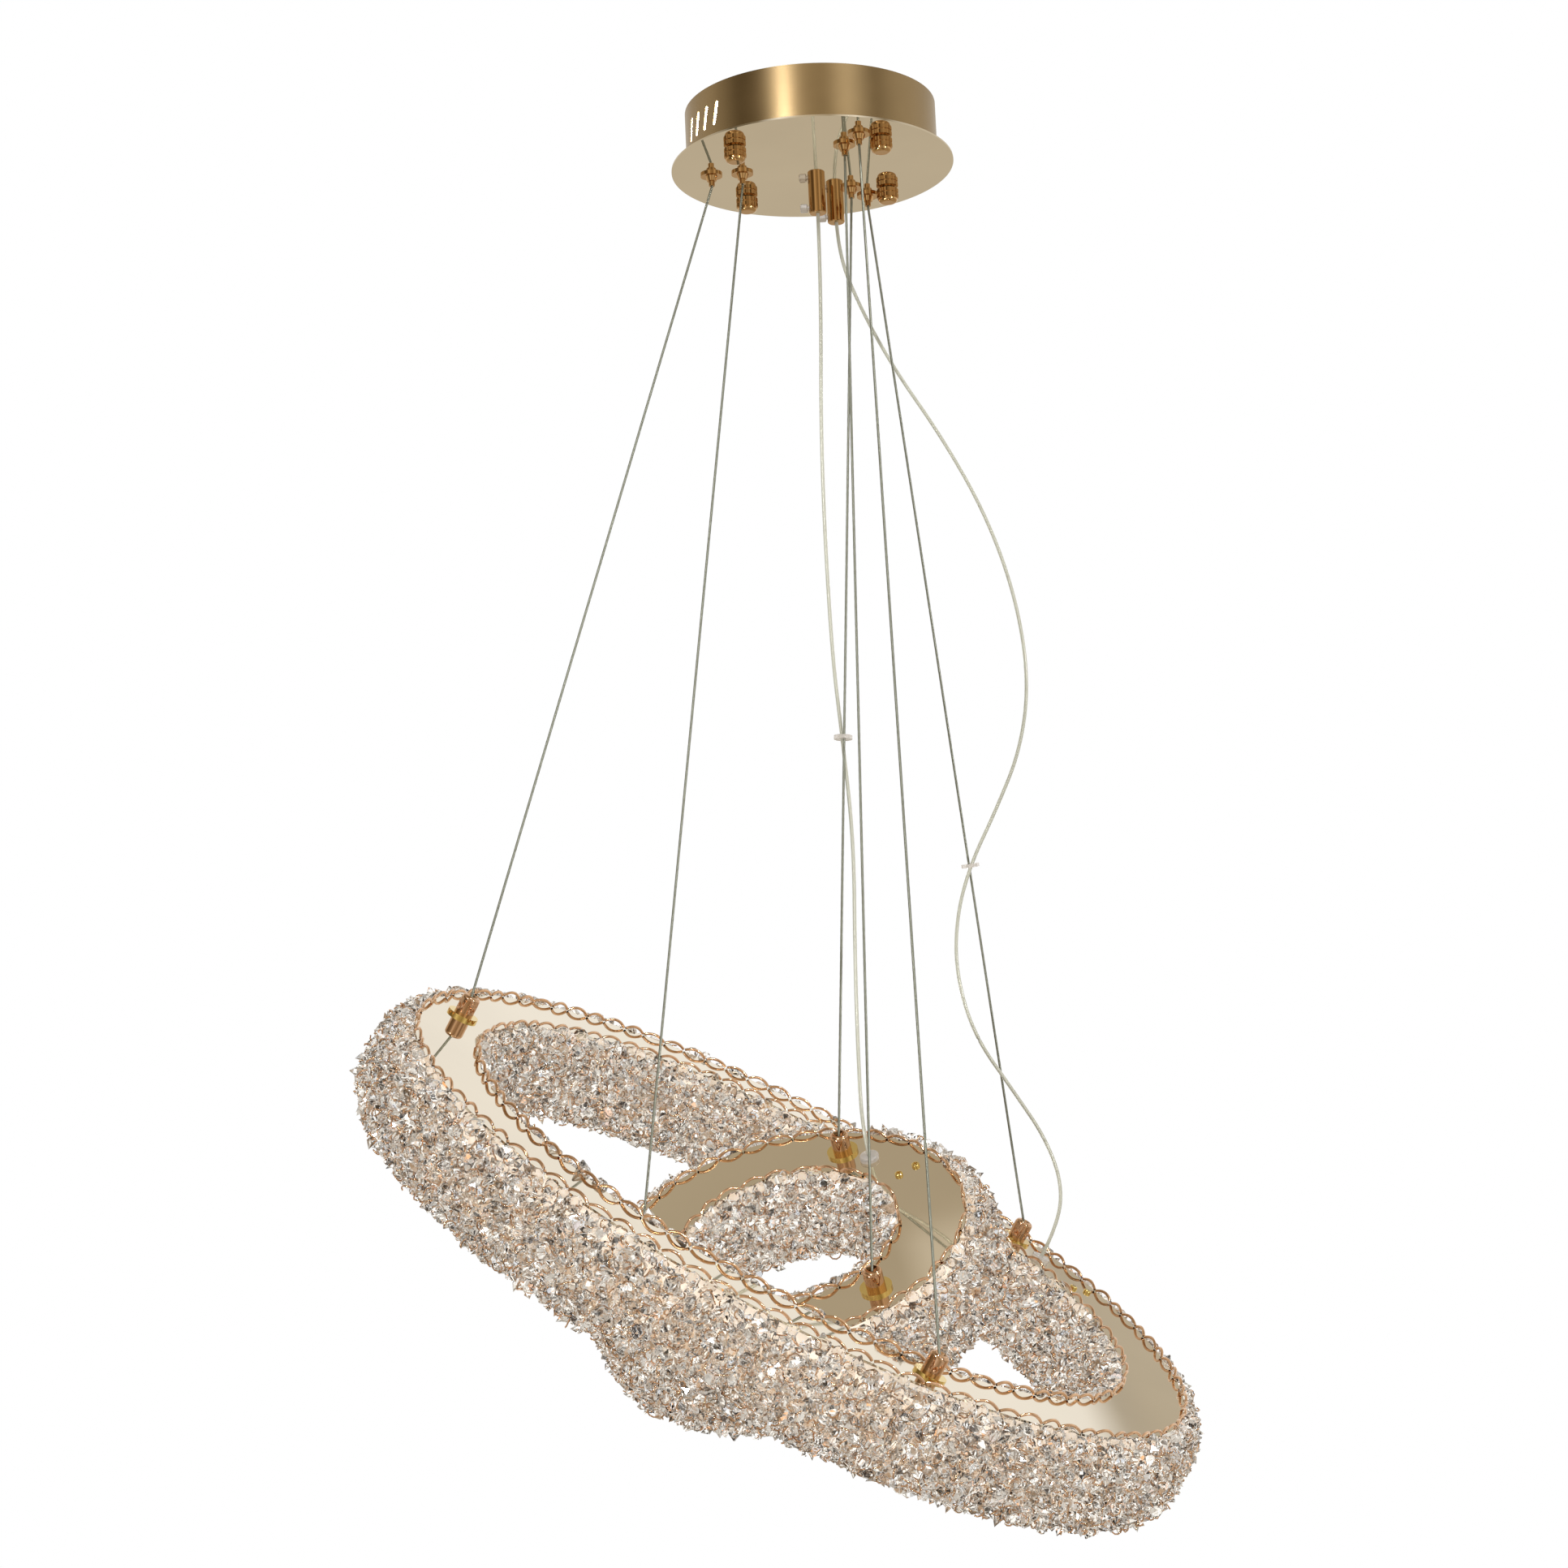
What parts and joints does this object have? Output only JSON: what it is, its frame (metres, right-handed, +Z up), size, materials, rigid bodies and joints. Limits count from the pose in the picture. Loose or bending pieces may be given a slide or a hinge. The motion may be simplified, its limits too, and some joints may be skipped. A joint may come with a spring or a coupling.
{
  "type": "crystal ring chandelier",
  "caption": "Ceiling chandelier with a round gold canopy and two tilted, nested crystal rings hung on steel wires, each ring lit from inside and fed by a clear cord.",
  "frame": {"origin": "middle of the canopy's top face, where it meets the ceiling", "axes": "+Z up out of the ceiling face, +X to the right and +Y away from the pictured side"},
  "size_m": [0.5442, 0.5992, 0.9972],
  "materials": {
    "brass": "polished yellow brass",
    "channel_metal": "bent light channel",
    "clear_cord": "clear sheath on tinned cores",
    "clear_plastic": "clear moulded plastic",
    "crystal": "cut clear crystal",
    "led_strip": "light strip",
    "mirror_gold": "mirror champagne-gold stainless sheet",
    "opal": "opal light cover",
    "polished_gold": "polished gold plate",
    "rose_gold": "rose-gold plate",
    "satin_gold": "satin gold plate on spun steel",
    "steel_wire": "twisted stainless wire",
    "white_plastic": "moulded housing",
    "zinc_steel": "zinc-plated steel"
  },
  "bodies": {
    "canopy": {"bush_lock_nuts": "zinc_steel", "canopy_drum": "satin_gold", "canopy_plate": "mirror_gold", "canopy_studs": "zinc_steel", "cord_clip_inner": "clear_plastic", "cord_clip_outer": "clear_plastic", "cord_glands": "polished_gold", "driver_leads": "clear_cord", "gland_lock_nuts": "zinc_steel", "led_driver": "white_plastic", "power_cord_inner": "clear_cord", "power_cord_outer": "clear_cord", "suspension_wire_inner_back": "steel_wire", "suspension_wire_inner_front": "steel_wire", "suspension_wire_inner_left": "steel_wire", "suspension_wire_outer_back": "steel_wire", "suspension_wire_outer_front": "steel_wire", "suspension_wire_outer_left": "steel_wire", "terminal_block": "white_plastic", "wire_bushes": "polished_gold"},
    "outer_ring": {"outer_cord_grommet": "clear_plastic", "outer_crystal_garland": "crystal", "outer_diffuser": "opal", "outer_led_strips": "led_strip", "outer_light_channel": "channel_metal", "outer_plate_screws": "brass", "outer_post_nuts": "zinc_steel", "outer_post_washers": "brass", "outer_screw_tab": "channel_metal", "outer_top_plate": "mirror_gold", "outer_wire_posts": "rose_gold"},
    "inner_ring": {"inner_cord_grommet": "clear_plastic", "inner_crystal_garland": "crystal", "inner_diffuser": "opal", "inner_led_strips": "led_strip", "inner_light_channel": "channel_metal", "inner_plate_screws": "brass", "inner_post_nuts": "zinc_steel", "inner_post_washers": "brass", "inner_screw_tab": "channel_metal", "inner_top_plate": "mirror_gold", "inner_wire_posts": "rose_gold"},
    "release_tip_inner_back": {"release_tip_inner_back": "polished_gold"},
    "release_tip_inner_front": {"release_tip_inner_front": "polished_gold"},
    "release_tip_inner_left": {"release_tip_inner_left": "polished_gold"},
    "release_tip_outer_back": {"release_tip_outer_back": "polished_gold"},
    "release_tip_outer_front": {"release_tip_outer_front": "polished_gold"},
    "release_tip_outer_left": {"release_tip_outer_left": "polished_gold"},
    "cap_nut_1": {"cap_nut_1": "polished_gold"},
    "cap_nut_2": {"cap_nut_2": "polished_gold"},
    "cap_nut_3": {"cap_nut_3": "polished_gold"},
    "cap_nut_4": {"cap_nut_4": "polished_gold"},
    "thumb_screw_inner": {"thumb_screw_inner": "clear_plastic"},
    "thumb_screw_outer": {"thumb_screw_outer": "clear_plastic"}
  },
  "joints": [
    {"name": "outer_ring_height", "type": "slide", "parent": "canopy", "child": "outer_ring", "axis": [0, 0, 1], "range_m": [0, 0.2], "deforming": ["suspension_wire_outer_left", "suspension_wire_outer_front", "suspension_wire_outer_back", "power_cord_outer", "cord_clip_outer"]},
    {"name": "inner_ring_height", "type": "slide", "parent": "canopy", "child": "inner_ring", "axis": [0, 0, 1], "range_m": [0, 0.2], "deforming": ["suspension_wire_inner_left", "suspension_wire_inner_front", "suspension_wire_inner_back", "power_cord_inner", "cord_clip_inner"]},
    {"name": "cap_nut_1_turn", "type": "hinge", "parent": "canopy", "child": "cap_nut_1", "pos_m": [0.05091, 0.05091, -0.05], "axis": [0, 0, 1], "continuous": true},
    {"name": "cap_nut_2_turn", "type": "hinge", "parent": "canopy", "child": "cap_nut_2", "pos_m": [-0.05091, 0.05091, -0.05], "axis": [0, 0, 1], "continuous": true},
    {"name": "cap_nut_3_turn", "type": "hinge", "parent": "canopy", "child": "cap_nut_3", "pos_m": [-0.05091, -0.05091, -0.05], "axis": [0, 0, 1], "continuous": true},
    {"name": "cap_nut_4_turn", "type": "hinge", "parent": "canopy", "child": "cap_nut_4", "pos_m": [0.05091, -0.05091, -0.05], "axis": [0, 0, 1], "continuous": true},
    {"name": "release_tip_inner_back_push", "type": "slide", "parent": "canopy", "child": "release_tip_inner_back", "axis": [0, 0, 1], "range_m": [0, 0.002]},
    {"name": "release_tip_inner_front_push", "type": "slide", "parent": "canopy", "child": "release_tip_inner_front", "axis": [0, 0, 1], "range_m": [0, 0.002]},
    {"name": "release_tip_inner_left_push", "type": "slide", "parent": "canopy", "child": "release_tip_inner_left", "axis": [0, 0, 1], "range_m": [0, 0.002]},
    {"name": "release_tip_outer_back_push", "type": "slide", "parent": "canopy", "child": "release_tip_outer_back", "axis": [0, 0, 1], "range_m": [0, 0.002]},
    {"name": "release_tip_outer_front_push", "type": "slide", "parent": "canopy", "child": "release_tip_outer_front", "axis": [0, 0, 1], "range_m": [0, 0.002]},
    {"name": "release_tip_outer_left_push", "type": "slide", "parent": "canopy", "child": "release_tip_outer_left", "axis": [0, 0, 1], "range_m": [0, 0.002]},
    {"name": "thumb_screw_inner_turn", "type": "hinge", "parent": "canopy", "child": "thumb_screw_inner", "pos_m": [0, 0.05, -0.0545], "axis": [1, 0, 0], "continuous": true},
    {"name": "thumb_screw_outer_turn", "type": "hinge", "parent": "canopy", "child": "thumb_screw_outer", "pos_m": [0.012, 0.072, -0.0545], "axis": [1, 0, 0], "continuous": true}
  ]
}
